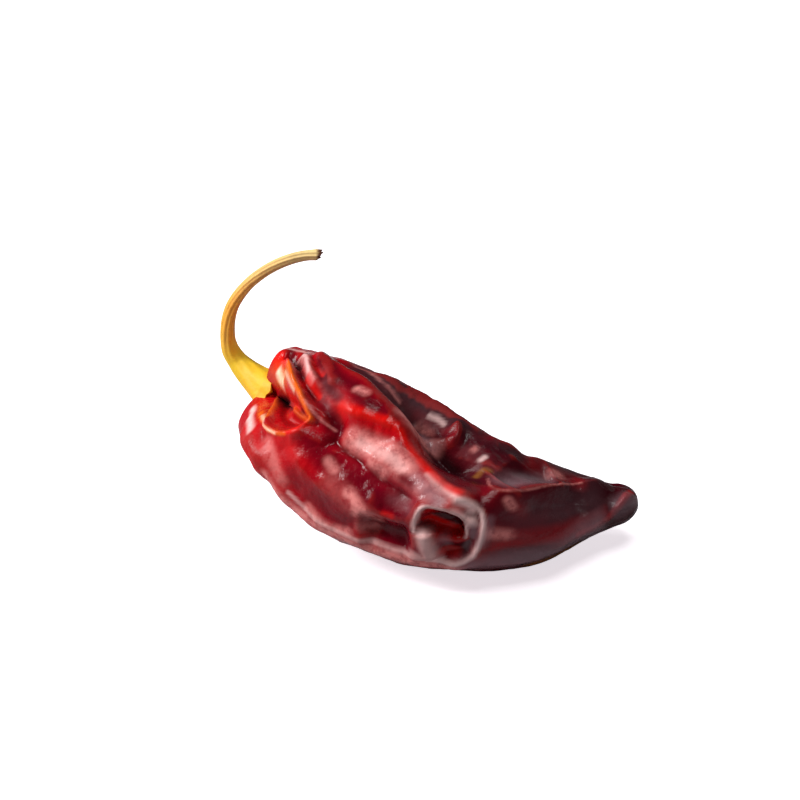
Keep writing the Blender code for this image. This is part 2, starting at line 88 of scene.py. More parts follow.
# the folds: where they run (mm along, degrees round from the front over the top) and how high they stand
podFolds = [
    dict(name="front rim", kind="crest", rise=1.8, reach=(6.0, 8.0),
         path=[(12, 12), (17, 3), (23, -8), (28, -20), (34, -24), (41, -23), (48, -22), (55, -24),
               (61, -24), (68, -20)]),
    dict(name="main crest", kind="crest", rise=4.4, reach=(16.0, 5.0), taper=0.12, top=0.6,
         path=[(8, 104), (14, 95), (20, 90), (28, 87), (35, 85), (41, 81), (46.5, 73), (50.5, 63),
               (54.5, 49), (57.5, 41), (61, 35), (64, 30)]),
    dict(name="back hollow", kind="swell", rise=-4.5, reach=(8.0, 10.0),
         path=[(30, 103), (38, 99), (45, 92), (51, 80), (57, 66), (62, 52)]),
    dict(name="deep end", kind="swell", rise=-3.0, reach=(8.0, 8.0), taper=0.0,
         path=[(53, 68), (60, 55)]),
    dict(name="hollow ridge", kind="crest", rise=2.4, reach=(4.5, 1.8), top=0.4,
         path=[(52, 107), (54, 103), (55, 98), (55, 92), (53.5, 82)]),
    dict(name="back crest", kind="crest", rise=1.8, reach=(5.0, 9.0), taper=0.15,
         path=[(10, 112), (18, 112), (26, 113), (36, 116), (47, 116), (57, 112), (68, 109), (77, 108)]),
    dict(name="lower valley", kind="crest", rise=-2.8, reach=(7.0, 3.0),
         path=[(31, 44), (34, 37), (38, 34), (42.5, 32), (48, 28), (53, 24), (56, 20)]),
    dict(name="shoulder crease", kind="crest", rise=-1.4, reach=(4.5, 2.6), top=0.3,
         path=[(28, 60), (31, 56), (32.6, 48), (32.6, 39), (31.5, 32), (28, 26)]),
    dict(name="stem pocket", kind="basin", rise=-5.2, wall=2.4,
         path=[(8, 44), (9, 52), (14, 56), (20, 51), (25.5, 44), (24.5, 37), (23, 32), (21, 28),
               (18.5, 27), (15.5, 29.5), (12, 34)]),
    dict(name="pocket right rim", kind="crest", rise=2.8, reach=(5.0, 2.4), taper=0.22, top=0.22,
         path=[(4, 92), (9, 81), (13.3, 71), (17.7, 62), (21.2, 56), (24, 50), (26.4, 44), (27.5, 41)]),
    dict(name="pocket lower rim", kind="crest", rise=1.5, reach=(3.4, 1.6), top=0.22,
         path=[(19.5, 24.5), (21, 25), (22.5, 26.5), (24.2, 30), (25.6, 35), (26.5, 43)]),
    dict(name="pocket left rim", kind="crest", rise=1.8, reach=(3.4, 1.7), top=0.22,
         path=[(7, 41), (9.5, 35.5), (12.5, 30.5), (15.5, 26.5), (18.5, 24.5)]),
    dict(name="outer rim", kind="crest", rise=0.9, reach=(1.8, 1.4), top=0.2,
         path=[(8, 16), (12.7, 18), (17, 20.5), (19.4, 21.5), (22, 25)]),
    dict(name="pocket inner fold", kind="crest", rise=1.8, reach=(2.4, 1.4), top=0.25,
         path=[(18, 46), (20.5, 43), (23, 42), (26, 43)]),
    dict(name="stem notch", kind="swell", rise=-11.5, reach=(15.0, 13.5), taper=0.0,
         path=[(0, 40), (3, 40), (6, 41)]),
    dict(name="left lobe", kind="swell", rise=2.3, reach=(7.0, 7.0),
         path=[(6, 6), (11, 4), (16, -2), (23, -9)]),
    dict(name="lobe groove", kind="crest", rise=-1.3, reach=(2.4, 2.4), top=0.25,
         path=[(8, 26), (12, 21), (15, 18), (17.5, 12), (20, 4)]),
    dict(name="stem fold groove", kind="crest", rise=-2.6, reach=(1.8, 3.0), top=0.25,
         path=[(5, 97), (10, 87), (14.5, 76), (19, 66), (23, 59), (27, 53)]),
    dict(name="top hollow", kind="swell", rise=-2.0, reach=(2.6, 3.0),
         path=[(5, 98), (9, 91), (13, 82), (17, 73)]),
    dict(name="second fold", kind="crest", rise=2.2, reach=(3.6, 2.0), top=0.3,
         path=[(8, 101), (11, 93), (14, 85), (18, 75), (21, 69), (25, 62)]),
    dict(name="second groove", kind="crest", rise=-1.6, reach=(1.8, 2.4), top=0.25,
         path=[(10, 101), (13, 94), (17, 85), (21, 77), (25, 70)]),
    dict(name="third fold", kind="crest", rise=1.1, reach=(1.8, 2.6), top=0.22,
         path=[(15, 92), (18, 86), (21, 80), (25, 73), (28, 70)]),
    dict(name="thin fold", kind="crest", rise=1.3, reach=(2.0, 1.4), top=0.2,
         path=[(20, 62), (22.6, 56), (25.5, 53), (28.5, 50), (31.6, 45)]),
    dict(name="short crest", kind="crest", rise=1.5, reach=(2.8, 6.0), top=0.4,
         path=[(26, 61.5), (31.3, 61), (34, 61), (38, 63), (42, 64), (46, 65)]),
    dict(name="head plateau", kind="swell", rise=1.0, reach=(7.0, 6.0),
         path=[(18, 84), (25, 77), (32, 74), (39, 72)]),
    dict(name="middle panel", kind="swell", rise=-1.3, reach=(7.0, 8.0),
         path=[(35, 52), (41, 52), (47, 48), (52, 41), (56, 34)]),
    dict(name="cavity", kind="basin", rise=-3.7, wall=1.7,
         path=[(56, 11), (56.2, 18), (56.8, 22.3), (59, 22.3), (60.8, 19.8), (61.8, 16), (62.3, 10.5),
               (62.4, 4), (61.2, 3), (59, 5.5), (57.4, 8.5)]),
    dict(name="cavity lip", kind="crest", rise=1.4, reach=(1.0, 2.0), taper=0.3, top=0.12,
         path=[(55.2, 3), (55.1, 10), (55.4, 18), (55.9, 23), (57.2, 24.4), (59.4, 24), (61.2, 21.5),
               (62.4, 17.5), (62.9, 10), (62.9, 2), (62.6, -3)]),
    dict(name="pinch rim", kind="crest", rise=2.7, reach=(1.6, 4.6), taper=0.16, top=0.16,
         path=[(57.5, 37.5), (60.6, 33.5), (62.8, 30), (64.3, 27), (65.1, 21), (65.4, 14), (65.4, 6),
               (65.1, -2), (64.6, -10), (63.4, -15.5), (61.2, -18), (58, -17.5)]),
    dict(name="front hollow", kind="swell", rise=-3.0, reach=(6.0, 6.0),
         path=[(45, -10), (49, -8), (52.5, -7), (55.4, -6)]),
    dict(name="hem", kind="crest", rise=0.6, reach=(2.4, 1.6), top=0.16,
         path=[(28, -9), (33.5, -14), (38.2, -16), (43, -16), (47.5, -16), (52, -17), (56.3, -16),
               (60, -16)]),
    dict(name="low valley", kind="crest", rise=-0.7, reach=(3.6, 5.0),
         path=[(24, 4), (29, -3), (35, -8), (42, -9), (48, -10), (53, -10)]),
    dict(name="bowl", kind="swell", rise=-1.6, reach=(4.2, 4.2), taper=0.0,
         path=[(61.2, -8), (63, -9), (63.6, -2)]),
    dict(name="cheek", kind="crest", rise=1.3, reach=(2.4, 2.0), taper=0.1, top=0.8,
         path=[(56.6, 5), (57.1, 0), (57.6, -6), (58.2, -12), (58.6, -17)]),
    dict(name="tail line", kind="crest", rise=2.0, reach=(6.0, 2.6), taper=0.2, top=0.3,
         path=[(63.6, 55), (64.8, 48), (66.5, 45), (69, 46.5), (73, 54), (79, 61), (87, 70), (94, 84),
               (99, 104)]),
    dict(name="tail hollow", kind="swell", rise=-2.0, reach=(7.0, 6.5), taper=0.1,
         path=[(66.5, 58), (69, 68), (73, 76), (80, 88)]),
    dict(name="tail back", kind="swell", rise=1.7, reach=(6.5, 8.0),
         path=[(71.5, 113), (80, 110), (89, 106), (98, 100)]),
    dict(name="tail lower line", kind="crest", rise=0.8, reach=(6.0, 4.0),
         path=[(68, 8), (75, 9), (83, 13), (89, 18), (96, 30)]),
    dict(name="tail keel", kind="crest", rise=1.5, reach=(5.0, 3.4), taper=0.2, top=0.3,
         path=[(72, -16), (79, -8), (86, -4), (92, 4), (96.6, 22), (100, 50), (101.5, 72)]),
    dict(name="tail panel", kind="swell", rise=-1.8, reach=(8.0, 8.0),
         path=[(70, 30), (79, 33), (88, 42)]),
    dict(name="small ring", kind="crest", rise=0.5, reach=(2.6, 1.6), top=0.3,
         path=[(64.6, 62), (65.8, 68), (67.4, 80), (69, 90), (71, 97)]),
    dict(name="far valley", kind="swell", rise=-4.0, reach=(10.0, 9.0),
         path=[(16, 146), (30, 152), (48, 155), (66, 148), (80, 140)]),
    dict(name="far crest", kind="crest", rise=2.8, reach=(9.0, 7.0),
         path=[(8, 178), (24, 184), (44, 182), (66, 172), (86, 152)]),
    dict(name="under valley", kind="swell", rise=-3.2, reach=(9.0, 10.0),
         path=[(20, 214), (38, 220), (58, 214), (74, 200)]),
    dict(name="under crest", kind="crest", rise=1.5, reach=(9.0, 9.0),
         path=[(10, 250), (30, 256), (52, 252), (76, 236)]),
    dict(name="cross crease", kind="crest", rise=-2.0, reach=(3.2, 4.6),
         path=[(34, 128), (38, 142), (37, 160), (41, 176)]),
    dict(name="cross crease low", kind="crest", rise=-1.8, reach=(4.4, 3.0),
         path=[(55, 138), (60, 156), (58, 172)]),
]

# tints painted along lines on the skin: reach in mm, strength, then the line as for the folds
podTints = {
    "blush": [  # fresher red
        (1.6, 1.0, [(20, 24), (22, 26), (24, 29.5), (25.6, 35), (26.5, 43)]),
        (7.0, 0.9, [(5, 20), (10, 12), (16, 2), (24, -10)]),
        (5.0, 0.6, [(19, 22), (22, 10), (24, -2)]),
        (4.0, 0.9, [(4, 90), (10, 74), (18, 60)]),
        (4.0, 0.9, [(15, 38), (20, 36), (24, 37)]),
        (4.0, 0.9, [(26, 61), (31, 61), (38, 63), (46, 65)]),
        (3.0, 1.0, [(36, 84), (41, 81), (46.5, 74), (50.5, 63), (54.5, 49), (58, 40), (61, 36)]),
        (2.6, 0.25, [(62, 43), (66, 38), (71, 31)]),
        (1.8, 1.3, [(56.8, 13), (58.5, 9), (60.5, 5), (62.2, 3)]),
        (1.2, 0.8, [(56.5, 20), (57.2, 22)]),
        (1.3, 0.8, [(84, -4), (92, 4), (96.6, 22), (100, 50), (101.5, 72)]),
        (2.0, 0.4, [(68, 2), (74, 4), (81, 4), (88, 5)]),
        (4.0, 0.7, [(74, 98), (79, 90), (86, 77)]),
        (1.4, 0.8, [(17, 82), (19, 78), (23.2, 74), (28.7, 66)]),
        (4.0, 0.9, [(22, 22), (25, 21), (27.5, 17), (30, 12)]),
        (3.0, 0.7, [(42, 87), (46, 84)]),
        (1.4, 0.3, [(52.5, 84), (54, 88), (54.6, 96)]),
        (2.2, 0.4, [(68, 11), (74, 9), (80, 9), (88, 12), (93, 18)]),
        (2.6, 0.8, [(44.5, -8), (47.5, -9.5)]),
        (1.4, 1.0, [(50, 57), (54, 47), (57.5, 40.5), (61, 37)]),
    ],
    "wine": [  # dark red
        (3.0, 0.6, [(66, 35), (68, 31)]),
        (5.0, 0.9, [(29, 29), (36, 24), (43, 21), (50, 16), (55, 8)]),
        (6.0, 0.65, [(30, 6), (38, -2), (44, -4), (54, -8)]),
        (3.6, 1.0, [(19, 88), (25, 78), (30, 77), (34, 71), (42, 70)]),
        (3.0, 1.0, [(23, 63), (27, 57), (30, 51), (32, 46)]),
        (3.0, 1.0, [(21, 76), (25, 70), (28.6, 65)]),
        (5.0, 0.7, [(24, 96), (32, 96), (40, 94)]),
        (3.0, 0.8, [(27, 50), (31, 44), (31, 34)]),
        (2.2, 1.3, [(53, 59), (55.5, 51.5), (58.5, 45), (61, 41.5)]),
        (4.0, 0.3, [(20, -2), (28, -8), (36, -14)]),
    ],
    "dusk": [  # painted shade: nearly black in the hollows, in the grooves by the stem and on the far side
        (2.5, 0.9, [(43, 107), (47, 106), (52, 95)]),
        (9.0, 0.9, [(36, 100), (45, 92), (52, 78), (60, 58)]),
        (7.5, 1.2, [(24, 111), (32, 112), (40, 116), (50, 114), (58, 110)]),
        (9.0, 0.8, [(60, 95), (70, 90), (84, 90)]),
        (9.0, 0.55, [(68, 26), (76, 28), (86, 36), (94, 50)]),
        (3.4, 0.9, [(9, 44), (12, 47), (16, 44)]),
        (1.8, 0.8, [(6, 101), (10.5, 90), (12.9, 81), (16, 71), (18, 67)]),
        (1.8, 0.5, [(17, 90), (20, 80), (23, 73), (26, 66)]),
        (4.6, 1.1, [(57, 101), (62, 97), (68, 98), (72, 101)]),
    ],
    "bloom": [  # the dusty film on high skin, and a painted highlight: pink sheen on the panels that face the light
        (4.3, 1.2, [(37, 46), (41, 47), (46.5, 47), (50, 43)]),
        (3.4, 0.55, [(50, 43), (53, 37.5), (56, 33.5), (60, 31)]),
        (2.4, 0.8, [(43, 38.5), (46.7, 35)]),
        (0.6, 0.6, [(23.7, 52), (26, 49), (28.4, 47), (31.6, 46)]),
        (0.6, 0.45, [(20.7, 114), (26, 112), (31.3, 109), (36.8, 108)]),
        (1.8, 0.9, [(31.3, 76), (33.5, 76)]),
        (2.4, 0.9, [(22, -8), (28, -18), (33, -20), (38, -21), (47, -22), (55, -22), (62, -22)]),
        (1.5, 0.65, [(11, 92), (14.5, 84), (18, 75), (21, 69)]),
        (4.0, 1.0, [(43.5, 82), (47.5, 80), (50.5, 85)]),
        (1.4, 0.6, [(59.7, 89), (60, 91)]),
        (1.9, 0.7, [(66.2, 12.5), (69.5, 10)]),
        (1.8, 0.7, [(33, -12), (38, -16.5), (43, -14)]),
        (2.4, 0.6, [(45.5, 5.5), (48, 2)]),
        (2.6, 0.45, [(45, 100), (48, 97)]),
        (0.5, 0.5, [(64.4, 58), (65.1, 48), (66.5, 45), (70.5, 47.5), (75, 55), (80, 62), (87, 70)]),
        (2.0, 0.7, [(79, 88), (82, 85)]),
        (1.5, 0.8, [(68.6, 37.5), (69.4, 33)]),
        (1.8, 0.7, [(34, 25), (36, 21.5)]),
        (2.2, 1.0, [(41, 13), (43.3, 10), (45.5, 6), (44, 4)]),
        (4.0, 0.2, [(37, 14), (40, 10), (43, 6), (46, 2)]),
        (2.6, 0.5, [(20, 13), (23, 5), (26, -3)]),
        (1.8, 0.4, [(45, -7), (47.5, -9)]),
    ],
    "pale": [  # painted highlights along the sharpest edges
        (0.55, 1.1, [(55.2, 4), (55.1, 10), (55.4, 18), (55.9, 23), (57.2, 24.4), (59.4, 24),
                     (61.2, 21.5), (62.4, 17.5), (62.9, 10), (62.9, 3)]),
        (1.6, 1.4, [(60.6, 31), (62.3, 30), (63, 28), (62.8, 24), (63.3, 18)]),
        (0.8, 0.55, [(28, -9), (33.5, -14), (38.2, -16), (43, -16), (47.5, -16), (52, -17), (56.3, -16),
                     (60, -16)]),
        (2.2, 0.5, [(38.5, 46), (42, 46), (47, 46), (50, 42)]),
        (0.75, 1.2, [(60.6, 33.5), (62.8, 30), (64.3, 27), (65.1, 21), (65.4, 14), (65.4, 6), (65.1, -2),
                     (64.6, -10), (63.4, -15.5), (61.2, -18), (58, -17.5)]),
        (1.2, 0.9, [(55, 43.5), (58.2, 37), (61.2, 32), (62.8, 29.5), (64.1, 27)]),
        (0.9, 0.75, [(45.6, 109), (48, 109), (50.6, 106)]),
        (1.2, 1.0, [(62, 80), (62.6, 83)]),
        (1.3, 0.5, [(55.6, -14), (59.3, -15)]),
        (1.3, 1.1, [(6, 4), (9.6, 8), (13.5, 10.5)]),
        (0.8, 0.85, [(10, 96), (13.5, 87), (16.4, 79), (19.7, 70), (21.4, 67)]),
        (1.9, 0.85, [(56.6, 5), (57.1, 0), (57.6, -6), (58.2, -12)]),
        (1.5, 1.2, [(60.4, 24), (61.8, 22)]),
        (0.9, 0.8, [(2.4, 92), (3.5, 99), (5.5, 105), (8, 108), (12, 108), (16, 104), (20, 100)]),
    ],
    "mist": [  # painted grey sheen in the hollows and along the tail
        (2.6, 0.55, [(53.2, 37), (55.9, 33), (57.8, 29)]),
        (3.0, 0.5, [(47, 88), (50.5, 86)]),
        (2.0, 0.12, [(50.6, 20), (54, 18)]),
        (1.4, 0.45, [(59.6, 3), (60.2, -4)]),
        (1.2, 0.4, [(63.4, -7), (63.7, -1)]),
        (1.2, 0.7, [(63.6, 16), (63.9, 11), (64, 6)]),
        (7.0, 0.13, [(72, 24), (80, 29), (89, 40)]),
        (6.0, 0.8, [(66, -24), (74, -20), (82, -15), (90, -8)]),
        (4.0, 0.5, [(97, 20), (101, 34)]),
        (1.6, 0.5, [(66, 22), (66, 12), (65.4, 2)]),
        (4.4, 0.65, [(68, 61), (70, 66), (73, 72), (77, 79)]),
    ],
    "garnet": [  # deep red
        (1.7, 0.9, [(51, 36), (52.5, 34.5)]),
        (1.8, 0.75, [(56, 49), (59.5, 44.5), (63, 43), (65.5, 44)]),
        (1.5, 0.8, [(64.3, 36.5), (65.8, 34)]),
        (1.7, 0.75, [(51.5, 101), (53.6, 98), (55.1, 91)]),
    ],
    "scarlet": [  # thin skin, bright red
        (2.4, 1.0, [(4, 89), (7, 83), (10, 77), (11.4, 74)]),
        (0.9, 1.0, [(23.5, 27), (24.9, 32), (25.8, 36), (26.4, 40), (26.9, 44)]),
        (2.4, 0.8, [(12.5, 60), (16, 54), (20, 48)]),
        (1.25, 1.0, [(46, 65), (48.3, 60), (50.6, 55.5), (54.5, 46.5), (58, 39), (60.5, 36.5)]),
        (1.7, 0.9, [(30.9, 61), (34.5, 62), (39.2, 65), (44, 66)]),
        (1.2, 0.6, [(17, 82), (19, 78), (22, 75)]),
        (1.3, 0.9, [(19.5, 69), (22, 65), (24.5, 61)]),
        (1.2, 1.0, [(56.9, 14), (58.4, 12), (60.2, 9), (61.9, 5)]),
        (1.2, 0.8, [(49.8, 9), (51, 9)]),
        (1.6, 0.6, [(60.1, -10), (61.9, -11)]),
        (1.5, 0.5, [(59.6, 27.8), (60.4, 27), (61.2, 26)]),
    ],
    "ochre": [  # dry spots
        (1.2, 0.75, [(62, 60), (63, 69), (64.4, 68)]),
        (2.2, 0.8, [(75, -39), (80, -41), (84, -44), (88, -47)]),
    ],
    "ember": [  # light through the thin folds round the stem
        (1.1, 1.0, [(12, 73), (13.3, 70), (17.7, 61), (21.2, 55), (24, 49), (26.4, 44)]),
        (3.2, 0.3, [(5, 76), (8, 71), (12, 63)]),
        (0.7, 0.7, [(7, 41), (9.5, 35.5), (12.5, 30.5), (15.5, 26.5)]),
        (0.75, 0.8, [(10.5, 17), (12.7, 18), (17, 20.5), (19.4, 21.5), (22, 24.5), (23.2, 26.5)]),
        (1.3, 0.55, [(19, 45), (22, 42), (26, 43)]),
    ],
    "amber": [  # painted highlight on the fold beside the stem, and painted light through the thinnest skin
        (1.6, 1.1, [(7.2, 75), (8, 72), (10.2, 65.5), (12.9, 60)]),
        (0.6, 0.6, [(13, 66), (16.5, 60), (19.6, 54.5)]),
        (0.5, 0.7, [(12, 18), (16, 20.3), (19.2, 21.5), (21, 23)]),
    ],
    "matt": [  # skin without gloss
        (6.0, 1.0, [(10, 42), (16, 44), (23, 40)]),
        (4.2, 1.2, [(21, 73), (25, 68.5), (28.4, 65), (31, 60)]),
        (4.5, 1.2, [(5, -8), (9.5, -3), (14, -2), (20, -6)]),
        (4.5, 0.7, [(15, 10), (20, 13), (26, 18)]),
        (4.5, 0.8, [(57, 88), (61, 80), (63.5, 72)]),
        (3.5, 0.8, [(50.6, 20), (54, 19)]),
        (4.0, 1.0, [(25, 59), (30, 60)]),
        (6.0, 1.2, [(24, 109), (36, 110), (46, 113), (54, 112)]),
        (2.4, 0.7, [(52, 52), (56, 43), (60.5, 36.5)]),
        (9.0, 0.5, [(82, 30), (92, 45)]),
        (6.0, 0.6, [(60, 112), (74, 112), (90, 108)]),
    ],
}


def smoothStep(x):
    x = np.clip(x, 0, 1)
    return x * x * (3 - 2 * x)


def curveThrough(keys, values, at):
    keys = np.asarray(keys, float)
    values = np.asarray(values, float)
    slope = np.gradient(values, keys, axis=0)
    at = np.clip(at, keys[0], keys[-1])
    i = np.clip(np.searchsorted(keys, at, side="right") - 1, 0, len(keys) - 2)
    h = keys[i + 1] - keys[i]
    t = (at - keys[i]) / h
    if values.ndim > 1:
        h, t = h[..., None], t[..., None]
    start = (2 * t**3 - 3 * t**2 + 1) * values[i] + (t**3 - 2 * t**2 + t) * h * slope[i]
    end = (-2 * t**3 + 3 * t**2) * values[i + 1] + (t**3 - t**2) * h * slope[i + 1]
    return start + end


class Spine:  # a smooth line through points, with arc length and a steady direction
    samples = 2000
    softening = 120

    def __init__(self, points):
        points = np.asarray(points, float)
        chord = np.r_[0, np.cumsum(np.linalg.norm(np.diff(points, axis=0), axis=1))]
        self.fine = curveThrough(chord, points, np.linspace(0, chord[-1], self.samples))
        steps = np.linalg.norm(np.diff(self.fine, axis=0), axis=1)
        self.arc = np.r_[0, np.cumsum(steps)]
        self.length = self.arc[-1]
        tangent = np.gradient(self.fine, self.arc, axis=0)
        kernel = np.hanning(self.softening * 2 + 1)
        kernel /= kernel.sum()
        first = np.repeat(tangent[:1], self.softening, 0)
        last = np.repeat(tangent[-1:], self.softening, 0)
        padded = np.concatenate([first, tangent, last])
        self.tangent = np.stack([np.convolve(padded[:, k], kernel, "valid") for k in range(3)], -1)

    def at(self, s):
        s = np.clip(s, 0, self.length)
        p = np.stack([np.interp(s, self.arc, self.fine[:, k]) for k in range(3)], -1)
        t = np.stack([np.interp(s, self.arc, self.tangent[:, k]) for k in range(3)], -1)
        return p, t / np.linalg.norm(t, axis=-1, keepdims=True)


podSpine = Spine(podShape["spine"])
podSections = np.array(podShape["sections"])


def halfWidths(s):
    return curveThrough(podSections[:, 0], podSections[:, 1:], s / podSpine.length)


def sectionRadius(s, angle):
    w = halfWidths(s)
    c, n = np.cos(angle), np.sin(angle)
    across = np.where(c > 0, w[..., 0], w[..., 2])
    upright = np.where(n > 0, w[..., 1], w[..., 3])
    power = podShape["sectionPower"]
    return (np.abs(c / across) ** power + np.abs(n / upright) ** power) ** (-1 / power)


def wrap(angle):
    return (angle + np.pi) % (2 * np.pi) - np.pi


def stretched(path):
    path = np.asarray(path, float).copy()
    path[:, 0] += podShape["headStretch"] * np.clip(path[:, 0] / podShape["headStretchOver"], 0, 1)
    return path


foldForm = {
    "stepsPerLeg": 5,  # a fold's line is rounded by this many steps between two points
    "flankPower": 1.35,  # how hollow the flanks of a crest are
}


# a fold's line and the skin's points on a flat sheet in mm
def unrolled(s, angle, path, closed=False):
    middle = np.radians(path[:, 1].mean())
    if closed:
        line = np.vstack([path, path[:1]])
    elif len(path) > 2:
        key = np.arange(len(path), dtype=float)
        line = curveThrough(key, path, np.linspace(0, key[-1], foldForm["stepsPerLeg"] * (len(path) - 1) + 1))
    else:
        line = path
    radius = halfWidths(line[:, 0]).mean(-1)
    line = np.stack([line[:, 0], (np.radians(line[:, 1]) - middle) * radius], -1)
    return line, s, wrap(angle - middle) * halfWidths(s).mean(-1)


def distanceTo(line, x, y):
    best = np.full(x.shape, 1e9)
    side = np.zeros(x.shape)
    share = np.zeros(x.shape)
    count = len(line) - 1
    for i in range(count):
        dx, dy = line[i + 1] - line[i]
        t = np.clip(((x - line[i, 0]) * dx + (y - line[i, 1]) * dy) / (dx * dx + dy * dy), 0, 1)
        ex, ey = x - line[i, 0] - t * dx, y - line[i, 1] - t * dy
        distance = np.hypot(ex, ey)
        near = distance < best
        best = np.where(near, distance, best)
        side = np.where(near, dx * ey - dy * ex, side)
        share = np.where(near, (i + t) / count, share)
    return best, side, share


def endsOf(share, taper):  # a fold rises from nothing over this share of its line, at both ends
    return smoothStep(np.minimum(share, 1 - share) / taper) if taper > 0 else 1.0


def crest(s, angle, path, rise, reach, taper=0.25, top=0.5):
    distance, side, share = distanceTo(*unrolled(s, angle, path))
    width = np.where(side > 0, reach[1], reach[0])
    away = np.sqrt(distance**2 + top**2) - top
    return rise * endsOf(share, taper) * np.clip(1 - away / width, 0, 1) ** foldForm["flankPower"]


def swell(s, angle, path, rise, reach, taper=0.25):
    distance, side, share = distanceTo(*unrolled(s, angle, path))
    away = np.clip(distance / np.where(side > 0, reach[1], reach[0]), 0, 1)
    return rise * endsOf(share, taper) * (1 - away**2) ** 2


def basin(s, angle, path, rise, wall):  # a flat floor inside a closed line, with steep walls
    line, x, y = unrolled(s, angle, path, closed=True)
    distance, _, _ = distanceTo(line, x, y)
    inside = np.zeros(x.shape, bool)
    for (ax, ay), (bx, by) in zip(line[:-1], line[1:]):
        if ay != by:
            crosses = (ay > y) != (by > y)
            inside ^= crosses & (x < ax + (y - ay) * (bx - ax) / (by - ay))
    return rise * smoothStep(np.where(inside, distance, -distance) / wall + 0.5)


foldKinds = dict(crest=crest, swell=swell, basin=basin)


def nearRows(s, path, reach):
    return (s[:, 0] > path[:, 0].min() - reach) & (s[:, 0] < path[:, 0].max() + reach)


def foldRelief(s, angle):
    total = np.zeros(s.shape)
    for fold in podFolds:
        values = {key: value for key, value in fold.items() if key not in ("name", "kind", "path")}
        path = stretched(fold["path"])
        rows = nearRows(s, path, np.max(fold.get("reach", fold.get("wall"))))
        total[rows] += foldKinds[fold["kind"]](s[rows], angle[rows], path, **values)
    return total


def tintAlong(s, angle, lines):  # strongest on its lines, gone at their reach
    total = np.zeros(s.shape)
    for reach, strength, path in lines:
        path = stretched(path)
        rows = nearRows(s, path, reach)
        distance, _, _ = distanceTo(*unrolled(s[rows], angle[rows], path))
        soft = (1 - np.clip(distance / reach, 0, 1) ** 2) ** 2
        total[rows] = np.maximum(total[rows], strength * soft)
    return total


crumples = {
    "ribs": dict(rise=0.20, seed=11, count=26, waveLength=46.0, sides=11),
    "dents": dict(rise=0.13, seed=5, count=40, waveLength=11.0, sides=16),
    "puckers": dict(rise=0.035, seed=23, count=60, waveLength=4.4, sides=34),
}
crumpleForm = {
    "ribSharpness": 1.6,  # narrow tops with wide hollows between them
    "tautFrom": 62,  # mm along, where the skin begins to be tauter than on the belly
    "tautOver": 20,
    "tautShare": 0.55,
}


# a seeded, even unevenness: waves along and round the pod that close on themselves
def crumple(s, angle, seed, count, waveLength, sides):
    chance = np.random.default_rng(seed)
    total = np.zeros(s.shape)
    for _ in range(count):
        along = chance.normal(0, 2 * np.pi / waveLength)
        around = chance.integers(-sides, sides + 1)
        total += np.cos(along * s + around * angle + chance.uniform(0, 2 * np.pi))
    return total / np.sqrt(count / 2)


def crumpleRelief(s, angle):
    form = crumpleForm
    total = np.zeros(s.shape)
    for name, one in crumples.items():
        field = crumple(s, angle, one["seed"], one["count"], one["waveLength"], one["sides"])
        if name == "ribs":
            field = 1 - form["ribSharpness"] * np.abs(field)
        total += one["rise"] * field
    return total * (1 - form["tautShare"] * smoothStep((s - form["tautFrom"]) / form["tautOver"]))


def podPoints():
    shape = podShape
    share = np.linspace(0, 1, shape["rings"])
    along = podSpine.length * (share - shape["ringCrowding"] * np.sin(2 * np.pi * share))
    turn = np.arange(shape["sides"]) * 2 * np.pi / shape["sides"]
    turn = turn - shape["sideCrowding"] * np.sin(turn - math.radians(shape["finestSide"]))
    s, angle = np.meshgrid(along, turn, indexing="ij")
    fromSeat = 1 - (1 - np.clip(s / shape["shoulderLength"], 0, 1)) ** shape["shoulderPower"]
    fromTip = 1 - (1 - np.clip((podSpine.length - s) / shape["tipLength"], 0, 1)) ** shape["tipPower"]
    shoulder = shape["seatShare"] + (1 - shape["seatShare"]) * np.sqrt(fromSeat)
    tip = shape["tipShare"] + (1 - shape["tipShare"]) * np.sqrt(fromTip)
    relief = (foldRelief(s, angle) + crumpleRelief(s, angle)) * np.sqrt(fromSeat * fromTip)
    radius = sectionRadius(s, angle) * shoulder * tip + relief
    centre, tangent = podSpine.at(s)
    front = np.cross(tangent, (0, 0, 1.0))
    front /= np.linalg.norm(front, axis=-1, keepdims=True)
    up = np.cross(front, tangent)
    points = centre + radius[..., None] * (np.cos(angle)[..., None] * front + np.sin(angle)[..., None] * up)
    points += (shape["dimpleDepth"] * (1 - shoulder**2))[..., None] * tangent
    points[..., 2] = np.maximum(points[..., 2], 0)  # it lies on the table
    return points, s, angle, relief


def softened(values, rounds):
    for _ in range(rounds):
        values = (2 * values + np.roll(values, 1, axis=1) + np.roll(values, -1, axis=1)) / 4
        inner = (2 * values[1:-1] + values[:-2] + values[2:]) / 4
        values = np.concatenate([values[:1], inner, values[-1:]])
    return values


# one closed skin from rings of points, with a disc at both ends and a value per point for each finish
def skinFromRings(name, points, marks):
    rings, sides = points.shape[:2]
    ends = [points[0].mean(0), points[-1].mean(0)]
    places = np.vstack([points.reshape(-1, 3), ends]) * mm
    i, j = np.meshgrid(np.arange(rings - 1), np.arange(sides), indexing="ij")
    k = (j + 1) % sides
    quads = np.stack([i * sides + j, (i + 1) * sides + j, (i + 1) * sides + k, i * sides + k], -1)
    faces = quads.reshape(-1, 4).tolist()
    first, last = rings * sides, rings * sides + 1
    start = (rings - 1) * sides
    for side in range(sides):
        after = (side + 1) % sides
        faces.append((side, after, first))
        faces.append((start + after, start + side, last))
    mesh = bpy.data.meshes.new(name)
    mesh.from_pydata(places.tolist(), [], faces)
    mesh.shade_smooth()
    for mark, values in marks.items():
        layer = mesh.attributes.new(mark, "FLOAT", "POINT")
        values = np.concatenate([values.reshape(-1), [values[0].mean(), values[-1].mean()]])
        layer.data.foreach_set("value", values.astype(np.float32))
    made = bpy.data.objects.new(name, mesh)
    bpy.context.scene.collection.objects.link(made)
    return made


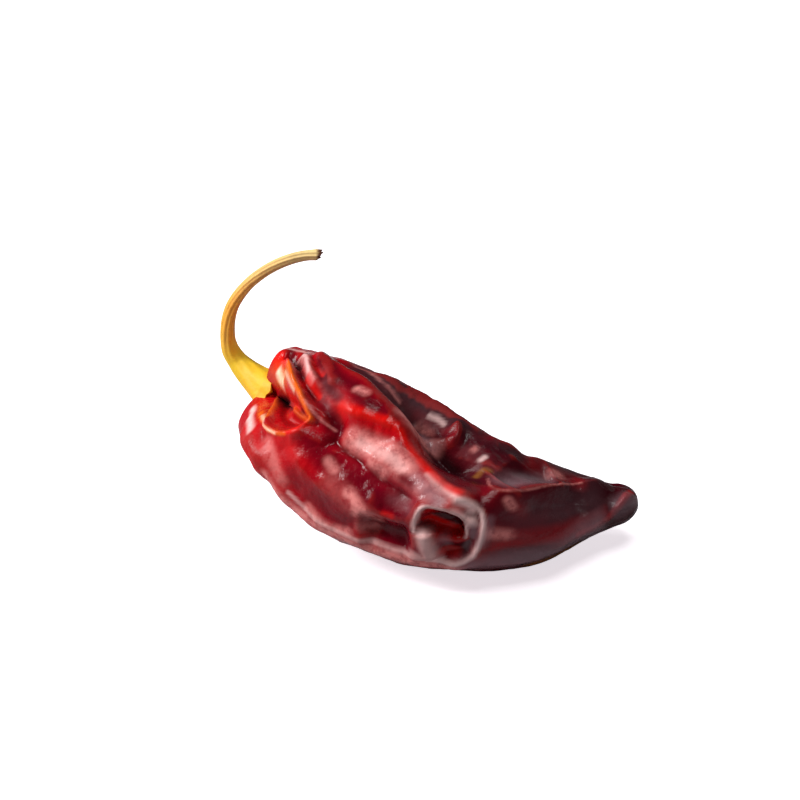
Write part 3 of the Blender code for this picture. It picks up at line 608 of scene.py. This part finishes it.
def centred(height, full):  # 0.5 where the skin is level, 1 at the full height
    return np.clip(height / full, -1, 1) * 0.5 + 0.5


def makePod():
    shape = podShape
    points, s, angle, relief = podPoints()
    marks = {
        "along": s / podSpine.length,
        # how far the skin stands above its smoothed self: where light is painted on the ridges
        "ridge": centred(relief - softened(relief, shape["ridgeRounds"]), shape["ridgeRise"]),
        # how far it sinks below: where shade is painted in the creases
        "hollow": centred(softened(relief, shape["hollowRounds"]) - relief, shape["hollowDepth"]),
    }
    for tint, lines in podTints.items():
        marks[tint] = tintAlong(s, angle, lines)
    made = skinFromRings("podSkin", points, marks)
    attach(made, "root")
    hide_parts("pod")
    print("pod", len(made.data.polygons), "faces")
    return made


# the calyx and stem: centre line from the seat outward, its radius, and how its fibres stand out
stemShape = {
    "line": [
        (-43.5, 25.6, 26.2),
        (-47.0, 28.1, 28.9),
        (-48.9, 28.5, 33.2),
        (-49.2, 28.5, 38.2),
        (-47.8, 28.7, 44.2),
        (-44.2, 29.7, 49.4),
        (-39.9, 30.4, 52.9),
        (-34.9, 31.5, 55.3),
        (-30.0, 32.3, 56.5),
        (-25.2, 32.3, 56.9),
    ],
    "radii": [
        (0.00, 5.2),
        (0.025, 5.1),
        (0.07, 3.9),
        (0.14, 2.5),
        (0.24, 1.9),
        (0.40, 1.65),
        (0.60, 1.42),
        (0.93, 1.3),
        (0.98, 1.42),
        (1.00, 1.3),
    ],
    "straight": 9.0,  # it leaves its seat square to it and bends into its line over this length
    "rings": 260,
    "sides": 64,
    "crowding": 1.3,  # finer towards the seat
    "twist": 1.4,
    "fibres": [(9, 1.0, 0.0), (5, 0.5, 1.0)],  # waves round the stem: how many, how high and where they begin
    "fibreRise": 0.05,
    "lobes": [(5, 0.08, 0.0)],
    "lobesOver": 0.12,
    "skirt": 2.2,  # how far the calyx reaches down into the notch of the shoulder
    "skirtOver": 3.5,
    "skirtTurn": 38.0,
    "skirtPower": 1.3,
    "skirtWaves": [(9, 0.18, 1.0)],
    "tornWaves": [(1, 1.0, 0.6), (7, 0.22, 0.0), (11, 0.15, 2.0)],
    "cutSlant": 1.1,
    "cutFrom": 0.96,
}


def waves(turn, parts):
    return sum(height * np.cos(count * turn + start) for count, height, start in parts)


def stemPoints():
    shape = stemShape
    line = Spine(shape["line"])
    share = np.linspace(0, 1, shape["rings"]) ** shape["crowding"]
    along = line.length * share
    centre, tangent = line.at(along)
    seatCentre, seatTangent = podSpine.at(0.0)
    seat = seatCentre + seatTangent * podShape["dimpleDepth"] * (1 - podShape["seatShare"] ** 2)
    blend = smoothStep(along / shape["straight"])[:, None]
    centre = (seat - seatTangent * along[:, None]) * (1 - blend) + centre * blend
    tangent = -seatTangent * (1 - blend) + tangent * blend
    tangent /= np.linalg.norm(tangent, axis=-1, keepdims=True)
    side = np.cross(tangent, (0.0, 1.0, 0.0))
    side /= np.linalg.norm(side, axis=-1, keepdims=True)
    other = np.cross(side, tangent)
    keys = np.array(shape["radii"])
    radius = np.interp(share, keys[:, 0], keys[:, 1])[:, None]
    turn = (np.arange(shape["sides"]) * 2 * np.pi / shape["sides"])[None, :]
    fibres = waves(turn + shape["twist"] * share[:, None], shape["fibres"])
    lobes = waves(turn, shape["lobes"]) * np.clip(1 - share[:, None] / shape["lobesOver"], 0, 1) ** 2
    radius = radius * (1 + lobes) + shape["fibreRise"] * fibres
    ring = np.cos(turn)[..., None] * side[:, None] + np.sin(turn)[..., None] * other[:, None]
    points = centre[:, None] + radius[..., None] * ring
    front = np.cross(seatTangent, (0.0, 0.0, 1.0))
    front /= np.linalg.norm(front)
    notch = math.radians(shape["skirtTurn"])
    notchWay = math.cos(notch) * front + math.sin(notch) * np.cross(front, seatTangent)
    facing = np.clip(ring @ notchWay, 0, 1) ** shape["skirtPower"] * (1 + waves(turn, shape["skirtWaves"]))
    skirt = shape["skirt"] * facing * np.clip(1 - along[:, None] / shape["skirtOver"], 0, 1) ** 2
    points += skirt[..., None] * seatTangent
    atCut = smoothStep((share[:, None] - shape["cutFrom"]) / (1 - shape["cutFrom"]))
    slant = shape["cutSlant"] * atCut * (waves(turn, shape["tornWaves"]) - 1)
    points += slant[..., None] * tangent[:, None]
    return points, np.broadcast_to(share[:, None], fibres.shape), fibres


def makeStem():
    points, share, fibres = stemPoints()
    tallest = 2 * sum(height for _, height, _ in stemShape["fibres"])
    made = skinFromRings("calyxAndStem", points, {"along": share, "fibre": fibres / tallest + 0.5})
    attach(made, "root")
    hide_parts("stem")
    print("stem", len(made.data.polygons), "faces")
    return made


class Value:  # a socket in a material, so that shader maths reads as an expression
    def __init__(self, finish, socket):
        self.finish = finish
        self.socket = socket

    def maths(self, operation, first, second):
        return self.finish.node("ShaderNodeMath", {"operation": operation}, [first, second])

    def __add__(self, other):
        return self.maths("ADD", self, other)

    def __radd__(self, other):
        return self.maths("ADD", other, self)

    def __sub__(self, other):
        return self.maths("SUBTRACT", self, other)

    def __rsub__(self, other):
        return self.maths("SUBTRACT", other, self)

    def __mul__(self, other):
        return self.maths("MULTIPLY", self, other)

    def __rmul__(self, other):
        return self.maths("MULTIPLY", other, self)

    def between(self, low, high):
        return self.finish.node("ShaderNodeMapRange", {"interpolation_type": "SMOOTHSTEP"}, [self, low, high])


class Finish:  # a material being made
    def __init__(self, name):
        self.material = bpy.data.materials.new(name)
        self.material.use_nodes = True
        self.tree = self.material.node_tree
        self.shader = self.tree.nodes["Principled BSDF"]

    def node(self, kind, settings=None, values=(), output=0):
        made = self.tree.nodes.new(kind)
        for key, value in (settings or {}).items():
            if key == "stops":
                ramp = made.color_ramp
                while len(ramp.elements) < len(value):
                    ramp.elements.new(1.0)
                for element, (position, colour) in zip(ramp.elements, value):
                    element.position = position
                    element.color = (*colour, 1.0)
            else:
                setattr(made, key, value)
        pairs = values.items() if isinstance(values, dict) else enumerate(values)
        for key, value in pairs:
            self.put(made.inputs[key], value)
        return Value(self, made.outputs[output])

    def put(self, socket, value):
        if isinstance(value, Value):
            self.tree.links.new(value.socket, socket)
        elif isinstance(value, tuple) and len(value) == 3 and socket.type == "RGBA":
            socket.default_value = (*value, 1.0)
        else:
            socket.default_value = value

    def set(self, **values):
        for name, value in values.items():
            self.put(self.shader.inputs[name.replace("_", " ")], value)

    def mark(self, name):
        return self.node("ShaderNodeAttribute", {"attribute_name": name}, output=2)

    def noise(self, scale, detail, roughness):
        place = self.node("ShaderNodeTexCoord", output=3)
        values = {"Vector": place, "Scale": scale, "Detail": detail, "Roughness": roughness}
        return self.node("ShaderNodeTexNoise", {}, values)

    def mix(self, low, high, share):
        return self.node("ShaderNodeMix", {"data_type": "RGBA"}, {0: share, 6: low, 7: high}, output=2)

    def ramp(self, value, stops):
        return self.node("ShaderNodeValToRGB", {"stops": stops}, [value])

    def bump(self, height, depth, strength):
        return self.node("ShaderNodeBump", {}, {"Height": height, "Distance": depth, "Strength": strength})


skinColours = {
    "head": (0.42, 0.002, 0.008),
    "belly": (0.25, 0.001, 0.010),
    "tail": (0.060, 0.002, 0.006),
    "ember": (0.85, 0.13, 0.01),
    "blush": (0.60, 0.004, 0.006),
    # the dusty film, and a painted pink highlight
    "bloom": (0.84, 0.27, 0.25),
    # painted highlight
    "pale": (1.0, 0.66, 0.63),
    # painted highlight and painted light through thin skin
    "amber": (1.0, 0.78, 0.56),
    "wine": (0.10, 0.001, 0.007),
    "garnet": (0.16, 0.004, 0.010),
    "scarlet": (0.80, 0.007, 0.004),
    "ochre": (0.34, 0.13, 0.025),
    # painted grey sheen
    "mist": (0.34, 0.22, 0.25),
    # painted shade, nearly black
    "dusk": (0.045, 0.006, 0.011),
    # lighter on the ridges: thinner skin, and painted light on what stands up
    "ridge": (0.34, 0.015, 0.012),
    # painted shade in the creases
    "crease": (0.018, 0.001, 0.002),
}
skinLook = {
    "colourStops": [(0.0, "head"), (0.28, "head"), (0.5, "belly"), (0.8, "tail")],
    "drift": 0.25,  # how far the blotches shift those stops
    "noises": {  # scale, detail and roughness
        "blotch": (95.0, 4.0, 0.6),
        "mottle": (420.0, 3.0, 0.6),
        "wrinkle": (520.0, 4.0, 0.55),
        "pore": (2600.0, 2.0, 0.5),
    },
    "hollow": (0.55, 1.0),  # where a mark or noise begins to show and where it shows in full
    "ridge": (0.62, 1.0),
    "speck": (0.30, 0.60),
    "sheen": (0.35, 0.65),
    "layers": [  # painted in this order: its share, what a pattern adds to it, and the pattern
        # painted shade in the creases
        ("crease", 0.75, 0.0, "none"),
        ("blush", 0.6, 0.6, "mottle"),
        ("wine", 0.6, 0.5, "blotch"),
        # painted shade
        ("dusk", 0.6, 0.5, "blotch"),
        # thinner skin and painted light on the ridges
        ("ridge", 0.5, 0.0, "none"),
        # dusty film and painted highlight
        ("bloom", 0.4, 0.6, "speck"),
        # painted highlight
        ("pale", 0.5, 0.5, "mottle"),
        # painted grey sheen
        ("mist", 0.6, 0.4, "blotch"),
        ("garnet", 1.0, 0.0, "none"),
        ("scarlet", 0.7, 0.3, "mottle"),
        ("ochre", 0.5, 0.5, "mottle"),
        ("ember", 1.0, 0.0, "none"),
        # painted highlight and painted light through thin skin
        ("amber", 0.6, 0.4, "mottle"),
    ],
    "roughness": 0.11,
    "sheenRoughness": 0.12,
    "blotchRoughness": 0.05,
    "mattRoughness": 0.38,
    "specular": 0.18,
    "poreDepth": 0.12,
    "bumpDepth": 0.0005,
    "bumpStrength": 0.5,
}


def podSkinFinish():
    skin = Finish("dried red skin")
    look = skinLook
    noise = {name: skin.noise(*values) for name, values in look["noises"].items()}
    drift = skin.mark("along") + look["drift"] * (noise["blotch"] - 0.5)
    colour = skin.ramp(drift, [(at, skinColours[name]) for at, name in look["colourStops"]])
    worked = {
        # creases darkened: painted shade
        "crease": skin.mark("hollow").between(*look["hollow"]),
        # ridges lightened: thinner skin and painted light
        "ridge": skin.mark("ridge").between(*look["ridge"]),
    }
    patterns = {**noise, "speck": noise["mottle"].between(*look["speck"])}
    for name, share, added, pattern in look["layers"]:
        where = worked[name] if name in worked else skin.mark(name)
        if pattern in patterns:
            share = share + added * patterns[pattern]
        colour = skin.mix(colour, skinColours[name], where * share)
    sheen = look["sheenRoughness"] * noise["mottle"].between(*look["sheen"])
    matt = look["mattRoughness"] * skin.mark("matt")
    height = noise["wrinkle"] + look["poreDepth"] * noise["pore"]
    skin.set(
        Base_Color=colour,
        Roughness=look["roughness"] + sheen + look["blotchRoughness"] * noise["blotch"] + matt,
        Specular_IOR_Level=look["specular"],
        Normal=skin.bump(height, look["bumpDepth"], look["bumpStrength"]),
    )
    return skin.material


stemColours = {
    "calyx": (0.81, 0.51, 0.018),
    "gold": (0.95, 0.42, 0.01),
    "neck": (0.95, 0.50, 0.05),
    "shaft": (1.0, 0.44, 0.06),
    "end": (1.0, 0.72, 0.30),
    "cut": (0.10, 0.03, 0.015),
    "bark": (0.28, 0.085, 0.012),
}
stemLook = {
    "colourStops": [
        (0.0, "calyx"),
        (0.14, "calyx"),
        (0.24, "neck"),
        (0.45, "shaft"),
        (0.9, "end"),
        (0.965, "end"),
        (0.985, "cut"),
    ],
    "speck": (1100.0, 4.0, 0.7),  # scale, detail and roughness
    "stain": (260.0, 3.0, 0.6),
    "seatGold": (0.02, 0.12),  # along the stem, where the gold of the seat ends and the bark begins
    "barkFrom": (0.16, 0.3),
    "barkFading": 0.5,
    "goldStain": (0.42, 0.6, 0.8),  # from, to and share
    "barkStain": (0.48, 0.7, 0.3),
    "barkSpeck": (0.55, 0.72, 0.5),
    "barkGroove": (0.55, 0.9, 0.35),
    "roughness": 0.55,
    "specular": 0.35,
    "fibreDepth": 0.5,
    "bumpDepth": 0.0002,
    "bumpStrength": 0.6,
}


def stemFinish():
    wood = Finish("dry straw stem")
    look = stemLook
    along, fibre = wood.mark("along"), wood.mark("fibre")
    speck = wood.noise(*look["speck"])
    stain = wood.noise(*look["stain"])
    colour = wood.ramp(along, [(at, stemColours[name]) for at, name in look["colourStops"]])
    atSeat = 1 - along.between(*look["seatGold"])
    older = along.between(*look["barkFrom"]) * (1 - look["barkFading"] * along)  # the calyx stays clean
    layers = [
        ("gold", stain, atSeat, look["goldStain"]),
        ("bark", stain, older, look["barkStain"]),
        ("bark", speck, older, look["barkSpeck"]),
        ("bark", 1 - fibre, older, look["barkGroove"]),
    ]
    for name, pattern, where, (start, full, share) in layers:
        colour = wood.mix(colour, stemColours[name], pattern.between(start, full) * where * share)
    wood.set(
        Base_Color=colour,
        Roughness=look["roughness"],
        Specular_IOR_Level=look["specular"],
        Normal=wood.bump(speck + look["fibreDepth"] * fibre, look["bumpDepth"], look["bumpStrength"]),
    )
    return wood.material


# lights stand round the middle of the table: degrees, metres and watts
studio = {
    "lights": {
        "leftLight": dict(turned=-92, raised=36, away=0.70, size=0.26, power=5.4),
        "topLight": dict(turned=35, raised=76, away=0.75, size=0.24, power=2.0),
        "backLight": dict(turned=140, raised=28, away=0.80, size=0.55, power=0.3),
    },
    "floorSize": 8.0,
    "floorColour": (0.50, 0.48, 0.50),
    "floorSeen": (0.92, 0.90, 0.92),  # whiter where it is seen than in what it lights
    "floorRoughness": 0.9,
    "glowColour": (1.0, 0.93, 0.98),
    "floorGlow": 0.74,
    "roomLight": 0.02,
    "aim": (-0.00615, 0.05892, 0.0),  # the point on the table at the middle of the frame
    "away": 0.60,
    "elevation": 30.0,
    "lens": 100.0,
}


def areaLight(name, turned, raised, away, size, power):  # turned in degrees from the front to the right
    light = bpy.data.lights.new(name, "AREA")
    light.size = size
    light.energy = power
    made = bpy.data.objects.new(name, light)
    turn, lift = math.radians(turned), math.radians(raised)
    toLight = Vector((math.sin(turn) * math.cos(lift), -math.cos(turn) * math.cos(lift), math.sin(lift)))
    made.location = toLight * away
    made.rotation_mode = "QUATERNION"
    made.rotation_quaternion = (-toLight).to_track_quat("-Z", "Y")
    bpy.context.scene.collection.objects.link(made)


def makeFloor():
    bpy.ops.mesh.primitive_plane_add(size=studio["floorSize"])
    floor = bpy.context.object
    floor.name = "floor"
    paper = Finish("white paper")
    seen = paper.node("ShaderNodeLightPath")
    paper.set(
        Base_Color=paper.mix(studio["floorColour"], studio["floorSeen"], seen),
        Roughness=studio["floorRoughness"],
        Specular_IOR_Level=0.0,
        Emission_Color=paper.mix((0.0, 0.0, 0.0), studio["glowColour"], seen),
        Emission_Strength=studio["floorGlow"],
    )
    floor.data.materials.append(paper.material)


def makeRoom():  # a white room that lights the part only a little
    world = bpy.data.worlds.new("white room")
    bpy.context.scene.world = world
    world.use_nodes = True
    nodes, links = world.node_tree.nodes, world.node_tree.links
    seen = nodes.new("ShaderNodeLightPath")
    level = nodes.new("ShaderNodeMapRange")
    level.inputs["To Min"].default_value = studio["roomLight"]
    links.new(seen.outputs["Is Camera Ray"], level.inputs["Value"])
    links.new(level.outputs[0], nodes["Background"].inputs["Strength"])
    nodes["Background"].inputs["Color"].default_value = (1, 1, 1, 1)
    bpy.context.scene.view_settings.view_transform = "Standard"


def makeCamera():
    camera = bpy.data.objects.new("camera", bpy.data.cameras.new("camera"))
    tilt = math.radians(studio["elevation"])
    back = Vector((0, -math.cos(tilt), math.sin(tilt)))
    camera.location = Vector(studio["aim"]) + back * studio["away"]
    camera.rotation_euler = (math.radians(90 - studio["elevation"]), 0, 0)
    camera.data.lens = studio["lens"]
    bpy.context.scene.collection.objects.link(camera)
    bpy.context.scene.camera = camera


makePod().data.materials.append(podSkinFinish())
makeStem().data.materials.append(stemFinish())
print("finishes made")
makeFloor()
makeRoom()
for lightName, lightValues in studio["lights"].items():
    areaLight(lightName, **lightValues)
makeCamera()
print("studio made")
